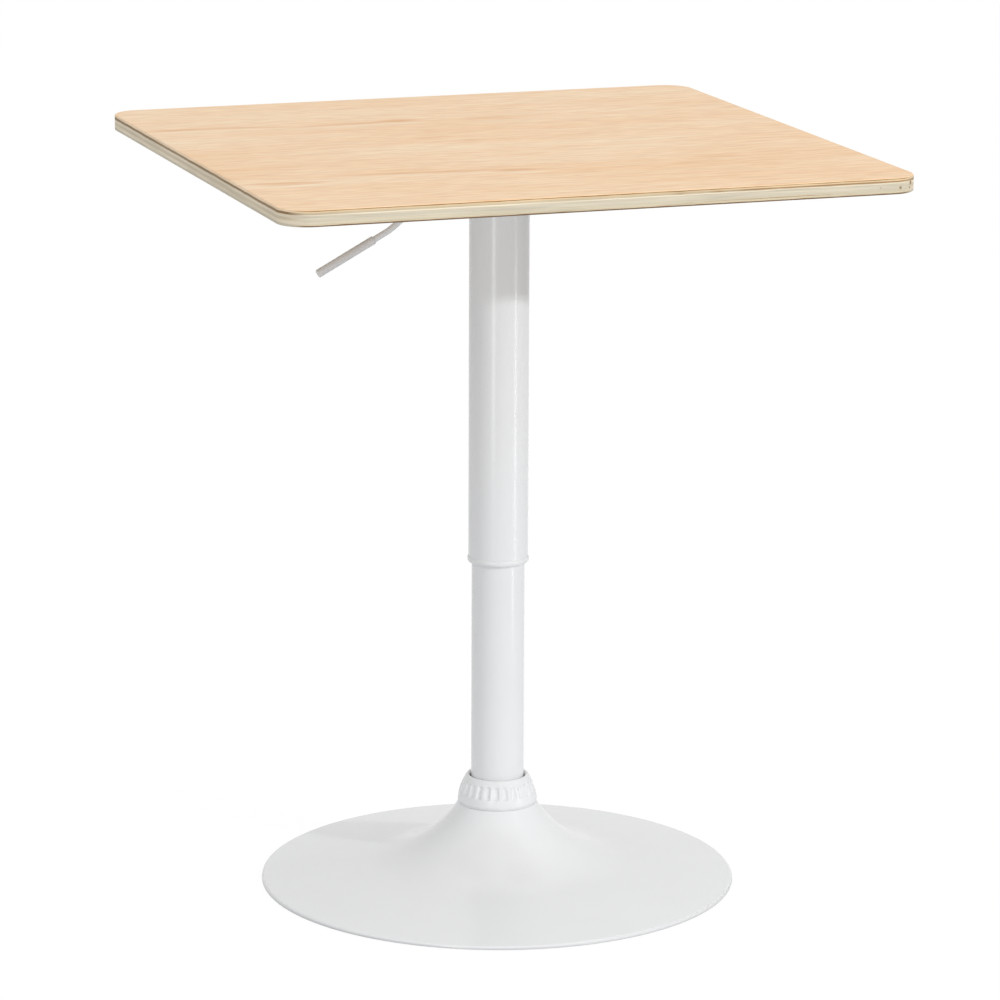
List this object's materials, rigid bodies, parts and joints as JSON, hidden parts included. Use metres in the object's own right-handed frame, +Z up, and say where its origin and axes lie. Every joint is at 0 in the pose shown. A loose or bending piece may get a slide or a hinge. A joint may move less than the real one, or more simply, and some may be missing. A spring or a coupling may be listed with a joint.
{
  "type": "gas-lift bar table",
  "caption": "Height-adjustable pedestal table: square plywood top on a telescoping gas-lift column with a release lever, standing on a round trumpet base.",
  "frame": {"origin": "on the floor, on the axis of the column", "axes": "+Z up along the column; the edges of the square top lie along X and Y; the release lever points along -X"},
  "size_m": [0.6, 0.6, 0.72],
  "materials": {
    "face_veneer": "beech veneer with a satin lacquer",
    "pale_ply": "sanded plywood edge",
    "dark_ply": "darker plywood layer, sanded edge",
    "brass": "turned brass",
    "white_paint": "white gloss powder coat on steel",
    "black_paint": "black paint on steel",
    "zinc_steel": "zinc-plated steel",
    "bare_steel": "turned steel",
    "chrome": "hard chrome",
    "aluminium": "machined aluminium",
    "white_plastic": "moulded white plastic",
    "grip_plastic": "soft pale plastic sleeve",
    "nylon": "natural nylon",
    "black_rubber": "black rubber"
  },
  "bodies": {
    "base": {"base_shell": "white_paint", "base_hub": "white_paint", "base_collar": "white_plastic", "floor_ring": "black_rubber", "lower_tube": "white_paint", "guide_bush": "nylon", "tube_foot": "bare_steel", "bearing_lower_race": "bare_steel"},
    "ball_cage": {"bearing_cage": "nylon", "bearing_balls": "chrome"},
    "spindle": {"piston_rod": "chrome", "piston": "aluminium", "piston_seal": "black_rubber", "bearing_upper_race": "bare_steel", "bump_stop": "black_rubber", "rod_washer": "zinc_steel", "rod_clip": "zinc_steel"},
    "upper": {"top_veneer": "face_veneer", "face_ply": "pale_ply", "upper_crossband": "dark_ply", "core_ply_upper": "pale_ply", "core_ply_middle": "pale_ply", "core_ply_lower": "pale_ply", "lower_crossband": "pale_ply", "bottom_veneer": "face_veneer", "threaded_inserts": "brass", "mount_plate": "white_paint", "mount_screws": "zinc_steel", "spring_washers": "zinc_steel", "flat_washers": "zinc_steel", "lever_housing": "white_paint", "taper_socket": "bare_steel", "pivot_bracket": "zinc_steel", "pivot_pin": "zinc_steel", "pivot_clip": "zinc_steel", "shroud_tube": "white_paint", "shroud_centring_ring": "nylon", "shroud_end_ring": "white_plastic", "pressure_tube": "black_paint", "inner_tube": "bare_steel", "valve_body": "aluminium", "valve_seal": "black_rubber", "rod_guide": "aluminium", "rod_seal": "black_rubber"},
    "lever": {"release_lever": "white_paint", "lever_grip": "grip_plastic"},
    "valve_pin": {"release_pin": "bare_steel"}
  },
  "joints": [
    {"name": "swivel", "type": "hinge", "parent": "base", "child": "spindle", "pos_m": [0, 0, 0.0346], "axis": [0, 0, 1], "continuous": true},
    {"name": "cage_turn", "type": "hinge", "parent": "base", "child": "ball_cage", "pos_m": [0, 0, 0.03255], "axis": [0, 0, 1], "continuous": true},
    {"name": "lift", "type": "slide", "parent": "spindle", "child": "upper", "axis": [0, 0, 1], "range_m": [0, 0.21]},
    {"name": "lever_pull", "type": "hinge", "parent": "upper", "child": "lever", "pos_m": [-0.03, 0, 0.6882], "axis": [0, 1, 0], "range_deg": [0, 8], "stiffness_Nm_per_rad": 2, "springref_deg": -11.46},
    {"name": "pin_press", "type": "slide", "parent": "upper", "child": "valve_pin", "axis": [0, 0, -1], "range_m": [0, 0.0045]}
  ],
  "couplings": [
    {"joint": "cage_turn", "follows": "swivel", "ratio": 0.5},
    {"joint": "pin_press", "follows": "lever_pull", "m_per_rad": 0.0303}
  ]
}
